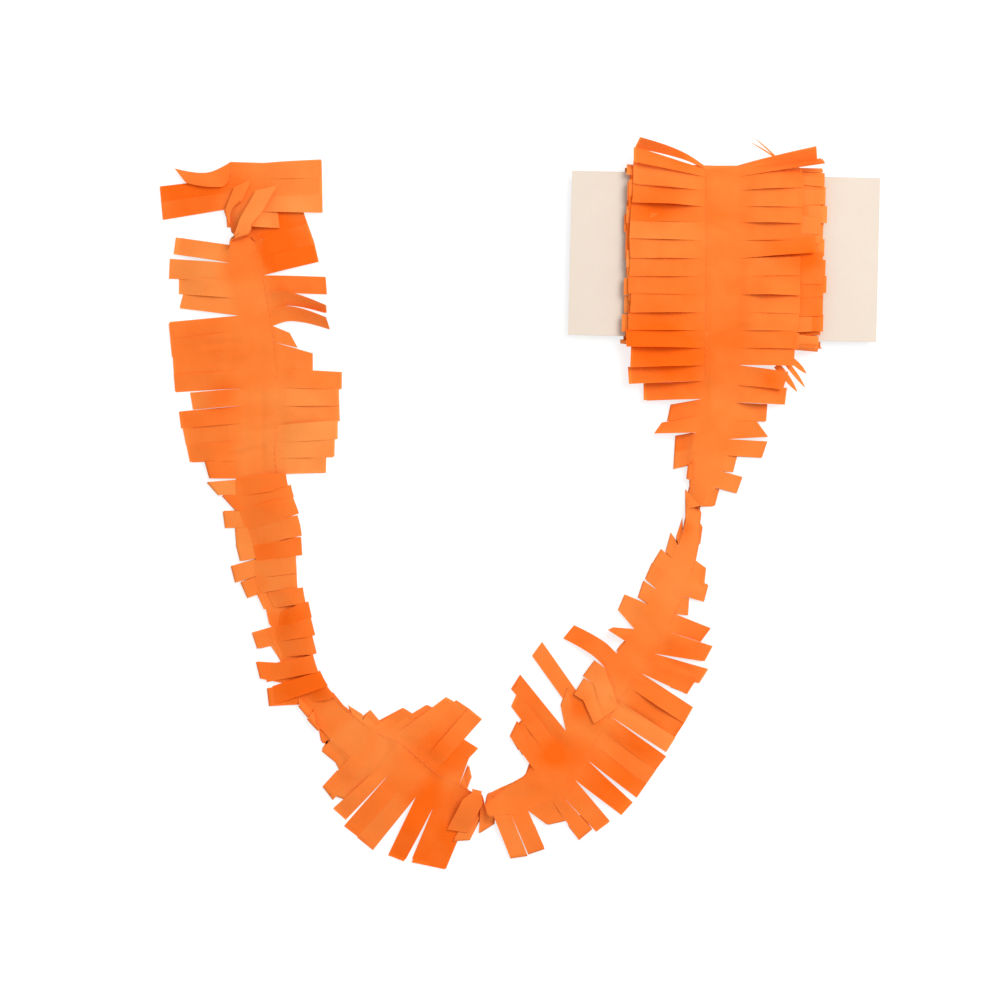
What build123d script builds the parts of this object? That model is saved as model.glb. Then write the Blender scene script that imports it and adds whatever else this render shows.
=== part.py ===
"""Tissue paper fringe garland: a fringed tissue strip wound on a card, with its first stretch drawn out.

The strip is slit from both edges up to an uncut middle band. Its last half turn lies on top of the
card, leaves it over the front long edge and runs out over the table in a U. +Z is up, X runs along
the card's long edge, and the origin is under the card's centre, on the table.
"""

import os
from math import cos, floor, pi, sin

from build123d import *

# Winding card
card_length = 184
card_width = 98
card_thickness = 1.5

# Tissue strip: its cut, and the thickness of its two plies with the air between them
strip_width = 102
uncut_band = 26
fringe_pitch = 10.2
slit_gap = 0.7
two_plies = 0.6
root_lap = 1.2
knee_reach_share = 0.45
knee_drop_share = 0.65
least_reach = 3
fold_rise = 4

# Turns on the card, in groups that stand out of each other at the strip's edges
turns_thickness = 5.5
turn_end_shares = [(-0.575, 0.58), (-0.56, 0.53)]
turn_slit_length = 34

# Seam thread, sewn through the band beside the roots of the inner fringe
thread_width = 0.5
thread_height = 0.3
seam_inset = 4.4

# The photograph, for the route of the loose length
pixel_size = 0.6
card_centre_pixel = (723.1, 257.5)
card_turn = 1.4

# Route of the loose length from the free end to the card. Each row: pixel of the band's middle,
# then the height of the band's middle as a share of the band's width, the half turns of its twist,
# how far the outer and inner fringe reach from the middle as shares of half the strip's width
# (below zero: folded back over the band), and the height where the tips rest, as the first share.
route_shares = [
    (248, 163, 0.06, 3.0, 0.85, 0.88, 0),
    (244, 190, 0.08, 3.0, 1.00, 0.93, 0),
    (240, 213, 0.30, 2.8, 0.80, 0.80, 0),
    (239, 240, 0.54, 2.4, 0.40, 0.80, 0),
    (246, 265, 0.25, 2.1, 0.90, 0.90, 0),
    (252, 300, 0.08, 2.0, 0.86, 0.92, 0),
    (258, 335, 0.08, 2.0, 1.02, 0.75, 0),
    (262, 375, 0.08, 2.0, 1.02, 0.93, 0),
    (262, 415, 0.08, 2.0, 0.95, 0.91, 0),
    (257, 455, 0.08, 2.0, 0.78, 0.88, 0),
    (266, 492, 0.10, 2.0, 0.62, -0.25, 0),
    (279, 530, 0.10, 2.0, 0.67, -0.40, 0),
    (281, 565, 0.10, 2.0, 0.58, -0.30, 0),
    (283, 595, 0.10, 2.0, 0.50, -0.20, 0),
    (294, 640, 0.10, 2.0, 0.50, -0.20, 0),
    (307, 680, 0.12, 2.0, 0.50, -0.20, 0),
    (325, 706, 0.35, 2.0, 0.30, 0.30, 0),
    (345, 728, 0.30, 2.0, 0.42, 0.30, 0),
    (368, 745, 0.14, 2.0, 0.75, 0.60, 0),
    (394, 757, 0.10, 2.0, 0.95, 0.95, 0),
    (412, 772, 0.10, 2.0, 1.00, 0.98, 0),
    (432, 788, 0.14, 2.0, 0.95, 0.85, 0),
    (456, 799, 0.35, 1.8, 0.85, 0.50, 0),
    (485, 803, 0.54, 1.5, 0.42, 0.12, 0),
    (512, 798, 0.45, 1.3, 0.70, 0.18, 0),
    (538, 788, 0.22, 1.1, 0.68, 0.30, 0),
    (557, 775, 0.14, 1.0, 0.80, 0.75, 0),
    (571, 757, 0.10, 1.0, 0.90, 0.85, 0),
    (584, 730, 0.10, 1.0, 0.99, 0.96, 0),
    (608, 690, 0.10, 1.0, 0.98, 0.96, 0),
    (635, 655, 0.12, 1.0, 0.88, 0.84, 0),
    (652, 628, 0.16, 0.9, 0.72, 0.48, 0),
    (665, 600, 0.28, 0.8, 0.50, 0.50, 0),
    (677, 570, 0.44, 0.7, 0.36, 0.38, 0),
    (687, 540, 0.54, 0.6, 0.20, 0.24, 0),
    (693, 507, 0.56, 0.5, 0.14, 0.14, 0),
    (700, 482, 0.52, 0.4, 0.48, 0.24, 0),
    (708, 455, 0.38, 0.2, 0.64, 0.48, 0),
    (714, 425, 0.24, 0.1, 0.72, 0.66, 0),
    (717, 398, 0.22, 0.0, 0.82, 0.88, 0),
    (720, 375, 0.36, 0.0, 0.86, 1.00, 0.1),
]
# From the roll's front edge to its back the band is straight and flat, and its fringe is full.
roll_reach_shares = (0.92, 1.06)

os.makedirs("parts", exist_ok=True)

roll_top = card_thickness + 2 * turns_thickness
half_strip = strip_width / 2
half_band = uncut_band / 2
half_plies = two_plies / 2
up = Vector(0, 0, 1)

# Winding card: a plain board, held half way up the roll
with BuildPart() as winding_card:
    with BuildSketch(Plane.XY.offset(turns_thickness)):
        Rectangle(card_length, card_width)
    extrude(amount=card_thickness)

winding_card.part.label = "winding_card"
export_step(winding_card.part, "parts/winding_card.step")

# Wound turns: groups of turns round the card, the fringe slit through each group from both edges
turn_step = turns_thickness / len(turn_end_shares)
slit_count = floor(card_width / fringe_pitch)
with BuildPart() as wound_turns:
    for group, end_shares in enumerate(turn_end_shares):
        near_end, far_end = (share * strip_width for share in end_shares)
        grown = 2 * turn_step * (group + 1)
        with BuildSketch(Plane.YZ.offset(near_end)):
            with Locations((0, roll_top / 2)):
                SlotOverall(card_width + grown, card_thickness + grown)
        extrude(amount=far_end - near_end)
    with BuildSketch(Plane.YZ.offset(-strip_width)):
        with Locations((0, roll_top / 2)):
            Rectangle(card_width, card_thickness)
    extrude(amount=2 * strip_width, mode=Mode.SUBTRACT)
    with BuildSketch(Plane.XY, Plane.XY.offset(roll_top - turns_thickness)):
        for end_share in turn_end_shares[0]:
            end = end_share * strip_width
            inward = -turn_slit_length / 2 if end > 0 else turn_slit_length / 2
            with Locations((end + inward, 0)):
                with GridLocations(0, fringe_pitch, 1, slit_count):
                    Rectangle(turn_slit_length, slit_gap)
    extrude(amount=turns_thickness, mode=Mode.SUBTRACT)

wound_turns.part.label = "wound_turns"
export_step(wound_turns.part, "parts/wound_turns.step")


def on_table(pixel_x, pixel_y):
    """The point of the table under a pixel of the photograph, in the card's frame."""
    across = (pixel_x - card_centre_pixel[0]) * pixel_size
    along = (card_centre_pixel[1] - pixel_y) * pixel_size
    return Vector(across, along, 0).rotate(Axis.Z, card_turn)


# Centre line of the band: the route on the table, over the roll's front edge, straight to its back
route_rows = []
for pixel_x, pixel_y, lift, turns, outer, inner, rest in route_shares:
    point = on_table(pixel_x, pixel_y) + up * (lift * uncut_band + half_plies)
    route_rows.append((point, turns, outer, inner, rest * uncut_band))
flat_end = (card_width - card_thickness) / 2
for roll_y in (-flat_end - roll_top / 2, -flat_end, flat_end):
    point = Vector(0, roll_y, roll_top + half_plies)
    route_rows.append((point, 0, *roll_reach_shares, roll_top))

with BuildLine() as centre_line:
    Spline(*[row[0] for row in route_rows[:-1]])
    Line(route_rows[-2][0], route_rows[-1][0])
centre_wire = centre_line.wire()
row_places = [centre_wire.param_at_point(row[0]) for row in route_rows]
slice_count = floor(centre_wire.length / fringe_pitch)


def lie_at(place):
    """Half turns, outer reach, inner reach and tip height at a place along the centre line."""
    row = max(n for n, row_place in enumerate(row_places[:-1]) if n == 0 or row_place <= place)
    share = (place - row_places[row]) / (row_places[row + 1] - row_places[row])
    values = zip(route_rows[row][1:], route_rows[row + 1][1:])
    return [before + (after - before) * share for before, after in values]


def band_plane(place):
    """The plane across the band at a place, its X over the band towards the band's first edge."""
    forward = centre_wire.tangent_at(place)
    outward = forward.cross(up).normalized()
    turn = lie_at(place)[0] * pi
    over_band = outward * cos(turn) + outward.cross(forward) * sin(turn)
    return Plane(origin=centre_wire.position_at(place), x_dir=over_band, z_dir=forward)


def ribbon_on_band(middle, width, height):
    """A solid ribbon along the whole band: a section at every slit, joined by flat creased faces."""
    half_size = Vector(width / 2, height / 2)
    corners = []
    for side_x, side_y in ((-1, -1), (1, -1), (1, 1), (-1, 1)):
        corners.append(Vector(middle[0] + side_x * half_size.X, middle[1] + side_y * half_size.Y))
    sections = []
    for slit in range(slice_count + 1):
        plane = band_plane(slit / slice_count)
        sections.append([plane.from_local_coords(corner) for corner in corners])
    polygons = [sections[0][::-1], sections[-1]]
    for here, there in zip(sections, sections[1:]):
        for low, high in ((0, 1), (1, 2), (3, 2), (0, 3)):
            triangles = [[here[low], here[high], there[high]], [here[low], there[high], there[low]]]
            if (low, high) in ((3, 2), (0, 3)):
                triangles = [triangle[::-1] for triangle in triangles]
            polygons += triangles
    return Solid(Shell([Face(Wire.make_polygon(polygon, close=True)) for polygon in polygons]))


def fringe_knees(lap, root, reach, tip_height):
    """The knees of a fringe strip in its own upright plane, from its lap in the band to its tip."""
    if reach < 0:
        fold_edge = root + Vector(fold_rise / 2, fold_rise / 2)
        fold_top = root + Vector(0, fold_rise)
        return [lap, fold_edge, fold_top, fold_top + Vector(reach, -two_plies)]
    knee = root + Vector(reach * knee_reach_share, (tip_height - root.Y) * knee_drop_share)
    return [lap, knee, Vector(reach, tip_height)]


def ply_outline(knees):
    """The closed outline of a ply along its knees, with mitred bends."""
    above, below = [], []
    for knee, before, after in zip(knees, knees[:1] + knees, knees[1:] + knees[-1:]):
        legs = [leg.normalized() for leg in (knee - before, after - knee) if leg.length > 0]
        along = sum(legs, Vector(0, 0)).normalized()
        square = Vector(-along.Y, along.X)
        mitre = half_plies / along.dot(legs[0])
        above.append(knee + square * mitre)
        below.append(knee - square * mitre)
    return above + below[::-1]


# Seam thread: it lies on the band all along, on the side that faces up over the roll
seam_middle = (seam_inset - half_band, -(two_plies + thread_height) / 2)
with BuildPart() as seam_thread:
    add(ribbon_on_band(seam_middle, thread_width, thread_height))

seam_thread.part.label = "seam_thread"
export_step(seam_thread.part, "parts/seam_thread.step")

# Loose length: the band, and on both its edges a fringe strip between each two slits. It gives way to
# the thread where a crease of the band or a fringe strip bulges into it.
with BuildPart() as loose_length:
    add(ribbon_on_band((0, 0), uncut_band, two_plies))
    for strip in range(slice_count):
        place = (strip + 0.5) / slice_count
        plane = band_plane(place)
        turns, outer, inner, rest_height = lie_at(place)
        tip_height = rest_height + half_plies + (strip % 2) * two_plies
        outward = plane.z_dir.cross(up).normalized()
        for edge in (-1, 1):
            side = edge if plane.x_dir.dot(outward) > 0 else -edge
            towards = outward * side
            root_point = plane.origin + plane.x_dir * edge * half_band
            lap_point = root_point - plane.x_dir * edge * root_lap
            reach = (outer if side > 0 else inner) * half_strip
            if reach > 0:
                reach = max(reach - (root_point - plane.origin).dot(towards), least_reach)
            lap = Vector((lap_point - root_point).dot(towards), lap_point.Z)
            knees = fringe_knees(lap, Vector(0, root_point.Z), reach, tip_height)
            strip_origin = (root_point.X, root_point.Y, 0)
            with BuildSketch(Plane(strip_origin, x_dir=towards, z_dir=towards.cross(up))):
                with BuildLine():
                    Polyline(*ply_outline(knees), close=True)
                make_face()
    extrude(amount=(fringe_pitch - slit_gap) / 2, both=True)
    add(seam_thread.part, mode=Mode.SUBTRACT)

loose_length.part.label = "loose_length"
export_step(loose_length.part, "parts/loose_length.step")
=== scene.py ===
"""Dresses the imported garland: two-ply tissue, stitches, board grain, table, light and camera."""

from math import pi, radians

import bpy
import numpy as np
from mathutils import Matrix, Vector


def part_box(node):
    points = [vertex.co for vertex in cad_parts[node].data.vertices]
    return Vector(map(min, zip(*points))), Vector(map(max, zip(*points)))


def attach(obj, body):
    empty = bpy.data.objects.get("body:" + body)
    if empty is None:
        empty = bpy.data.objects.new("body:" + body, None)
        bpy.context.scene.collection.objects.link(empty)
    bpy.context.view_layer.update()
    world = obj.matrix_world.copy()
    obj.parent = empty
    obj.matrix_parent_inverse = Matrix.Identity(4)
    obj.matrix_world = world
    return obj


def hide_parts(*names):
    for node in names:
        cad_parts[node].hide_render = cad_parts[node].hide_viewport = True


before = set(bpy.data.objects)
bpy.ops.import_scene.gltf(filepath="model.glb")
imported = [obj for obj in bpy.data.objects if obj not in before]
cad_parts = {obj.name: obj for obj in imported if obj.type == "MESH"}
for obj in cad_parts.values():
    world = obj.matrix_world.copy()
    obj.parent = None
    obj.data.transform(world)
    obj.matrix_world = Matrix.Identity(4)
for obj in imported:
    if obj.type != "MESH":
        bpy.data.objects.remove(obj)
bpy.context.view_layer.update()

# Real sizes, in metres
strip_width = 0.102
band_width = 0.0195
fringe_length = (strip_width - band_width) / 2
slit_pitch = 0.01025
ply_gap = 0.00035
stitch_length = 0.0032
stitch_gap = 0.0009
thread_radius = 0.00013
seam_from_middle = 0.0092
seam_start = 0.002

# The photograph: its scale on the table, the card's centre pixel, and how far the card is turned
pixel = 0.0006
picture_middle = 500
card_centre_pixel = (723.1, 257.5)
card_turn = radians(1.4)

# Grid of the paper: spans of the band between two slits and across it, and along a fringe strip
spans_per_slit = 8
spans_across_band = 14
spans_along_strip = 24
steps_on_route = 16

# Route of the band from the free end to the roll's back edge: pixel of its middle, its height in
# millimetres, the half turns of its twist, and how far its width is gathered in
band_route = [
    (247, 161, 1.4, 3.0, 1),
    (246, 188, 1.8, 3.0, 1),
    (243, 211, 2.4, 2.9, 1),
    (242, 236, 3.2, 2.5, 0.8),
    (246, 265, 2.2, 2.05, 1),
    (252, 300, 2.1, 2.0, 1),
    (258, 335, 2.1, 2.0, 1),
    (262, 375, 2.1, 2.0, 1),
    (262, 415, 2.1, 2.0, 1),
    (260, 450, 2.0, 2.0, 1),
    (262, 475, 1.9, 2.0, 1),
    (267, 500, 1.7, 2.0, 1),
    (277, 530, 1.7, 2.0, 1),
    (280, 565, 1.7, 2.0, 1),
    (282, 595, 1.7, 2.0, 1),
    (292, 640, 1.7, 2.0, 1),
    (304, 680, 2.0, 2.0, 1),
    (323, 708, 2.6, 2.0, 0.95),
    (345, 728, 2.8, 2.0, 1),
    (368, 745, 2.8, 2.0, 1),
    (394, 757, 2.6, 2.0, 1),
    (412, 772, 2.6, 2.0, 1),
    (432, 788, 3.6, 2.0, 1),
    (456, 799, 2.4, 1.95, 1),
    (485, 804, 3.2, 1.5, 0.85),
    (512, 799, 2.6, 1.1, 1),
    (538, 788, 3.0, 1.0, 1),
    (557, 775, 3.6, 1.0, 1),
    (571, 757, 2.6, 1.0, 1),
    (584, 730, 2.6, 1.0, 1),
    (608, 690, 2.6, 1.0, 1),
    (635, 655, 3.1, 1.0, 1),
    (652, 628, 3.2, 1.0, 1),
    (667, 600, 3.0, 1.0, 0.95),
    (681, 570, 3.0, 1.0, 0.8),
    (690, 540, 3.2, 0.95, 0.62),
    (694, 507, 3.8, 0.5, 0.65),
    (702, 482, 4.0, 0.05, 0.85),
    (708, 455, 4.6, 0.0, 1),
    (714, 425, 4.8, 0.0, 1),
    (717, 398, 5.7, 0.0, 1),
    (720, 375, 9.4, 0.0, 1),
    (720, 348, 12.9, 0.0, 1),
    (720, 300, 13.0, 0.0, 1),
    (720, 240, 13.0, 0.0, 1),
    (720, 186, 13.1, 0.0, 1),
    (720, 174, 12.4, 0.0, 1),
    (720, 169, 9.0, 0.0, 1),
    (720, 167, 5.0, 0.0, 1),
]

# Places of slits on the band: slit and pixel of the band's middle. Between two of them the slits
# are evenly spaced.
slit_anchors = [
    (0, 248, 163),
    (3, 243, 211),
    (6, 245, 261),
    (9, 254, 313),
    (11, 259, 345),
    (12, 261, 370),
    (16, 260, 441),
    (18, 262, 476),
    (20, 268, 505),
    (23, 281, 556),
    (27, 288, 624),
    (29, 300, 658),
    (31, 314, 694),
    (34, 343, 726),
    (36, 363, 741),
    (38, 384, 753),
    (42, 440, 792),
    (44, 470, 802),
    (46, 491, 803),
    (48, 522, 795),
    (49, 543, 785),
    (50, 551, 780),
    (51, 562, 769),
    (52, 573, 753),
    (55, 596, 709),
    (58, 628, 664),
    (60, 645, 641),
    (61, 657, 617),
    (62, 665, 601),
    (64, 679, 568),
    (66, 687, 538),
    (67, 690, 521),
    (68, 693, 504),
    (69, 701, 484),
    (72, 712, 437),
    (74, 717, 401),
    (76, 720, 366),
    (78, 720, 331),
    (80, 720, 297),
    (84, 720, 226),
    (86, 720, 194),
    (87, 720, 180),
    (88, 720, 172),
    (89, 720, 167),
]

# Tips of the fringe on the U's outer side: first and last slit of a run of strips, then the pixels
# of the run's two tip corners
outer_tips = [
    (0, 1, 175, 169, 186, 183),
    (1, 3, 160, 187, 163, 220),
    (3, 4, 250, 181, 235, 188),
    (4, 5, 278, 186, 257, 191),
    (5, 6, 176, 238, 174, 254),
    (6, 7, 170, 259, 169, 279),
    (7, 8, 179, 280, 179, 291),
    (8, 9, 184, 292, 180, 307),
    (9, 11, 169, 324, 172, 356),
    (11, 13, 173, 359, 175, 391),
    (13, 14, 190, 393, 193, 409),
    (14, 15, 179, 412, 181, 427),
    (15, 16, 183, 429, 186, 444),
    (16, 17, 187, 447, 190, 462),
    (17, 18, 205, 463, 209, 477),
    (18, 19, 208, 484, 217, 494),
    (19, 20, 222, 496, 235, 509),
    (20, 21, 223, 513, 225, 528),
    (21, 22, 235, 529, 236, 543),
    (22, 23, 236, 546, 240, 561),
    (23, 24, 231, 567, 235, 582),
    (24, 25, 242, 586, 246, 595),
    (25, 26, 257, 594, 263, 607),
    (26, 27, 266, 608, 269, 623),
    (27, 28, 252, 633, 257, 648),
    (28, 29, 271, 646, 279, 658),
    (29, 30, 256, 662, 260, 678),
    (30, 31, 267, 688, 269, 706),
    (31, 32, 302, 695, 311, 703),
    (32, 33, 315, 706, 318, 721),
    (33, 34, 318, 724, 321, 741),
    (34, 35, 323, 752, 333, 760),
    (35, 36, 335, 761, 340, 771),
    (36, 37, 323, 787, 332, 799),
    (37, 38, 335, 796, 341, 798),
    (38, 39, 334, 809, 345, 819),
    (39, 40, 344, 826, 357, 836),
    (40, 41, 358, 838, 373, 850),
    (41, 42, 388, 855, 404, 861),
    (42, 44, 412, 862, 444, 869),
    (44, 45, 454, 841, 469, 840),
    (45, 46, 479, 833, 493, 824),
    (46, 47, 512, 858, 526, 856),
    (47, 48, 529, 854, 544, 849),
    (48, 49, 551, 824, 564, 821),
    (49, 50, 580, 839, 591, 830),
    (50, 51, 597, 831, 609, 822),
    (51, 52, 622, 814, 632, 803),
    (52, 54, 637, 797, 655, 771),
    (54, 55, 656, 769, 666, 756),
    (55, 56, 666, 752, 675, 738),
    (56, 57, 675, 737, 684, 723),
    (57, 58, 684, 723, 693, 707),
    (58, 59, 687, 694, 695, 681),
    (59, 60, 700, 682, 708, 669),
    (60, 61, 705, 660, 712, 647),
    (61, 62, 701, 641, 710, 629),
    (62, 63, 688, 615, 689, 598),
    (63, 64, 704, 601, 708, 587),
    (64, 65, 704, 585, 706, 568),
    (65, 66, 695, 563, 698, 546),
    (66, 67, 700, 543, 702, 529),
    (67, 68, 697, 527, 700, 510),
    (68, 69, 715, 505, 719, 490),
    (69, 70, 737, 492, 742, 478),
    (70, 71, 733, 472, 737, 456),
    (71, 72, 762, 457, 767, 442),
    (72, 73, 768, 437, 756, 421),
    (73, 74, 766, 420, 767, 405),
    (74, 75, 784, 405, 786, 389),
    (75, 76, 782, 387, 786, 374),
    (76, 78, 791, 367, 794, 333),
    (78, 79, 794, 332, 796, 316),
    (79, 80, 797, 314, 797, 299),
    (80, 81, 797, 296, 797, 279),
    (81, 82, 797, 276, 798, 260),
    (82, 83, 812, 255, 813, 238),
    (83, 84, 797, 240, 799, 226),
    (84, 85, 799, 224, 799, 211),
    (85, 86, 800, 209, 800, 192),
    (86, 87, 801, 189, 799, 173),
    (87, 88, 821, 168, 820, 163),
    (88, 89, 814, 164, 812, 151),
]

# Tips on the U's inner side, in the same way
inner_tips = [
    (0, 3, 322, 161, 323, 213),
    (3, 4, 278, 212, 280, 228),
    (4, 6, 300, 202, 315, 244),
    (6, 7, 315, 245, 319, 262),
    (7, 8, 326, 278, 327, 294),
    (8, 9, 327, 306, 327, 313),
    (9, 10, 327, 318, 330, 329),
    (10, 11, 290, 333, 298, 348),
    (11, 12, 313, 356, 313, 368),
    (12, 13, 342, 372, 342, 388),
    (13, 15, 339, 390, 340, 420),
    (15, 16, 338, 421, 338, 438),
    (16, 17, 335, 440, 335, 455),
    (17, 18, 326, 456, 326, 473),
    (18, 19, 236, 478, 237, 496),
    (19, 20, 238, 497, 240, 509),
    (20, 21, 238, 512, 246, 529),
    (21, 22, 247, 532, 255, 547),
    (22, 23, 254, 548, 257, 560),
    (23, 24, 255, 562, 256, 577),
    (24, 25, 252, 581, 262, 592),
    (25, 26, 268, 594, 274, 606),
    (26, 27, 281, 614, 279, 626),
    (27, 28, 277, 627, 274, 642),
    (28, 29, 274, 643, 281, 657),
    (29, 30, 265, 665, 267, 682),
    (30, 31, 270, 689, 273, 704),
    (31, 32, 300, 690, 306, 700),
    (32, 33, 332, 692, 340, 702),
    (33, 34, 341, 703, 348, 709),
    (34, 35, 350, 706, 361, 713),
    (35, 36, 371, 710, 381, 722),
    (36, 37, 404, 708, 417, 716),
    (37, 38, 430, 706, 440, 711),
    (38, 39, 450, 699, 457, 703),
    (39, 40, 458, 701, 470, 709),
    (40, 41, 470, 709, 481, 718),
    (41, 42, 467, 741, 475, 746),
    (42, 43, 474, 745, 466, 766),
    (43, 44, 468, 764, 459, 787),
    (44, 45, 447, 829, 467, 832),
    (45, 46, 492, 797, 501, 788),
    (46, 47, 503, 786, 519, 780),
    (47, 48, 524, 780, 538, 772),
    (48, 49, 529, 774, 536, 753),
    (49, 50, 510, 735, 516, 722),
    (50, 51, 519, 722, 525, 716),
    (51, 52, 512, 704, 517, 693),
    (52, 53, 512, 687, 519, 676),
    (53, 54, 561, 704, 567, 687),
    (54, 55, 533, 654, 541, 643),
    (55, 57, 597, 721, 616, 708),
    (57, 58, 564, 637, 573, 626),
    (58, 59, 620, 645, 631, 634),
    (59, 60, 607, 629, 613, 627),
    (60, 61, 618, 609, 624, 595),
    (61, 62, 638, 596, 643, 581),
    (62, 63, 645, 578, 651, 564),
    (63, 64, 652, 563, 660, 550),
    (64, 65, 666, 550, 670, 533),
    (65, 66, 677, 534, 682, 518),
    (66, 67, 685, 518, 688, 505),
    (67, 68, 685, 505, 685, 490),
    (68, 69, 693, 484, 696, 472),
    (69, 70, 696, 471, 697, 462),
    (70, 72, 673, 469, 675, 436),
    (72, 73, 653, 434, 661, 423),
    (73, 74, 667, 420, 670, 406),
    (74, 75, 643, 399, 643, 385),
    (75, 76, 628, 384, 627, 369),
    (76, 77, 629, 368, 630, 346),
    (77, 78, 625, 348, 625, 332),
    (78, 79, 627, 331, 627, 316),
    (79, 80, 629, 313, 630, 296),
    (80, 81, 627, 293, 627, 279),
    (81, 82, 628, 277, 629, 261),
    (82, 83, 629, 258, 628, 242),
    (83, 84, 628, 240, 629, 224),
    (84, 85, 629, 222, 630, 207),
    (85, 86, 631, 204, 632, 188),
    (86, 87, 632, 185, 632, 164),
    (87, 88, 632, 166, 632, 152),
    (88, 89, 634, 149, 638, 142),
]

# Fringe that lies over the band or over other paper: first and last slit, height of the tips in
# millimetres
outer_heights = [
    (0, 1, 3),
    (3, 5, 3.6),
    (69, 72, 2.5),
    (72, 75, 3.5),
    (75, 76, 8),
    (76, 77, 11.5),
    (77, 87, 13.2),
    (87, 88, 13),
    (88, 89, 13),
]
inner_heights = [
    (0, 3, 2.2),
    (3, 4, 3.2),
    (18, 32, 1.5),
    (44, 45, 2.6),
    (53, 54, 2.5),
    (55, 57, 4),
    (57, 60, 1.5),
    (72, 75, 3.5),
    (75, 76, 8),
    (76, 77, 11),
    (77, 88, 13.2),
    (88, 89, 13),
]

# Strips that bow up: strip, and how far its first and its last edge rise, in millimetres
outer_lifts = [
    (5, 0.4, 1.2),
    (10, 1.6, 0.2),
    (12, 1.8, 0.3),
    (13, 0.2, 1.6),
    (17, 1.2, 0.2),
    (38, 1.6, 0.3),
    (41, 0.3, 1.8),
    (42, 1.8, 0.3),
    (47, 0.3, 1.4),
    (52, 1.6, 0.3),
    (54, 0.3, 1.6),
    (57, 1.8, 0.3),
    (60, 0.4, 2.0),
    (72, 1.4, 0.4),
    (74, 2.6, 0.6),
    (75, 0.6, 3.0),
    (76, 1.6, 0.4),
    (78, 0.3, 0.3),
    (79, 1.2, 0.2),
    (80, 4.0, 0.4),
    (81, 1.6, 0.2),
    (82, 4.2, 0.4),
    (83, 1.2, 0.2),
    (84, 3.6, 0.4),
    (85, 1.4, 0.3),
    (86, 1.6, 0.3),
    (87, 3.2, 0.8),
]
inner_lifts = [
    (13, 0.6, 1.6),
    (15, 1.6, 0.3),
    (38, 1.8, 0.2),
    (40, 2.0, 0.2),
    (72, 3.0, 0.8),
    (74, 3.2, 0.8),
    (75, 3.0, 0.6),
    (76, 3.4, 0.6),
    (77, 4.6, 0.6),
    (78, 2.6, 0.4),
    (79, 3.6, 0.4),
    (80, 1.2, 0.2),
    (81, 1.6, 0.2),
    (82, 2.0, 0.3),
    (83, 1.8, 0.2),
    (84, 0.8, 0.2),
    (85, 6.0, 0.8),
    (86, 3.0, 1.0),
    (87, 3.4, 1.4),
]

# Tone of the strips, from 0 for single light paper to 1 for the deepest orange, which is partly the
# paper's uneven tone and partly painted shade where strips lie in shadow or under other paper:
# first and last slit, tone
outer_tones_and_shade = [
    (0, 1, 0.35),
    (1, 3, 0.8),
    (3, 5, 0.2),
    (5, 9, 0.25),
    (9, 12, 0.45),
    (12, 13, 0.65),
    (13, 15, 0.5),
    (15, 17, 0.4),
    (17, 18, 0.55),
    (18, 19, 0.15),
    (19, 20, 0.6),
    (20, 24, 0.2),
    (24, 27, 0.4),
    (27, 29, 0.3),
    (29, 31, 0.7),
    (31, 34, 0.6),
    (34, 39, 0.45),
    (39, 40, 0.75),
    (40, 41, 0.45),
    (41, 42, 0.9),
    (42, 44, 1.0),
    (44, 47, 0.5),
    (47, 51, 0.6),
    (51, 52, 0.75),
    (52, 55, 0.6),
    (55, 56, 0.25),
    (56, 57, 0.75),
    (57, 62, 0.7),
    (62, 71, 0.4),
    (71, 89, 0.6),
]
inner_tones_and_shade = [
    (0, 2, 0.45),
    (2, 4, 0.25),
    (4, 7, 0.95),
    (7, 10, 0.55),
    (10, 13, 0.4),
    (13, 15, 0.25),
    (15, 18, 0.05),
    (18, 19, 0.75),
    (19, 22, 0.6),
    (22, 23, 0.7),
    (23, 25, 0.4),
    (25, 29, 0.7),
    (29, 32, 0.8),
    (32, 36, 0.35),
    (36, 38, 0.6),
    (38, 41, 0.5),
    (41, 43, 0.75),
    (43, 44, 0.3),
    (49, 53, 0.65),
    (53, 54, 0.25),
    (55, 57, 0.3),
    (57, 58, 0.9),
    (54, 55, 0.6),
    (60, 71, 0.4),
    (71, 89, 0.6),
    (75, 77, 0.7),
    (77, 79, 0.9),
]
usual_tone = 0.45

# Places where the paper's tone is painted deeper or lighter: painted shade where several layers lie
# on each other or raised paper shades what lies below, and painted light where one layer lies over
# white. Pixel, radius in pixels, and how much deeper the tone is there
painted_shade_and_light_places = [
    (188, 206, 26, 0.3),
    (228, 180, 22, 0.35),
    (300, 208, 16, -0.25),
    (262, 226, 14, -0.2),
    (274, 250, 22, 0.5),
    (205, 278, 28, -0.1),
    (205, 350, 30, 0.15),
    (222, 396, 16, 0.4),
    (300, 400, 40, -0.2),
    (215, 440, 22, 0.1),
    (268, 500, 18, 0.2),
    (262, 548, 14, 0.1),
    (262, 585, 10, 0.2),
    (275, 602, 16, -0.15),
    (290, 625, 18, 0.25),
    (318, 688, 12, 0.3),
    (300, 672, 20, 0.2),
    (380, 740, 35, -0.15),
    (435, 748, 24, 0.4),
    (420, 800, 20, 0.35),
    (450, 778, 9, -0.3),
    (554, 755, 16, 0.5),
    (578, 705, 16, 0.35),
    (605, 690, 16, -0.35),
    (640, 735, 22, 0.3),
    (675, 655, 20, 0.3),
    (620, 775, 24, 0.25),
    (686, 528, 8, 0.45),
    (670, 590, 24, -0.15),
    (655, 208, 24, 0.35),
    (655, 250, 30, -0.15),
    (660, 285, 28, 0.12),
    (790, 262, 18, 0.35),
    (810, 262, 10, 0.4),
    (655, 345, 30, 0.35),
    (680, 368, 26, 0.4),
    (770, 380, 12, 0.3),
    (730, 410, 34, -0.2),
    (806, 352, 12, 0.3),
    (680, 158, 16, 0.3),
    (760, 200, 40, -0.1),
]

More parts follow.
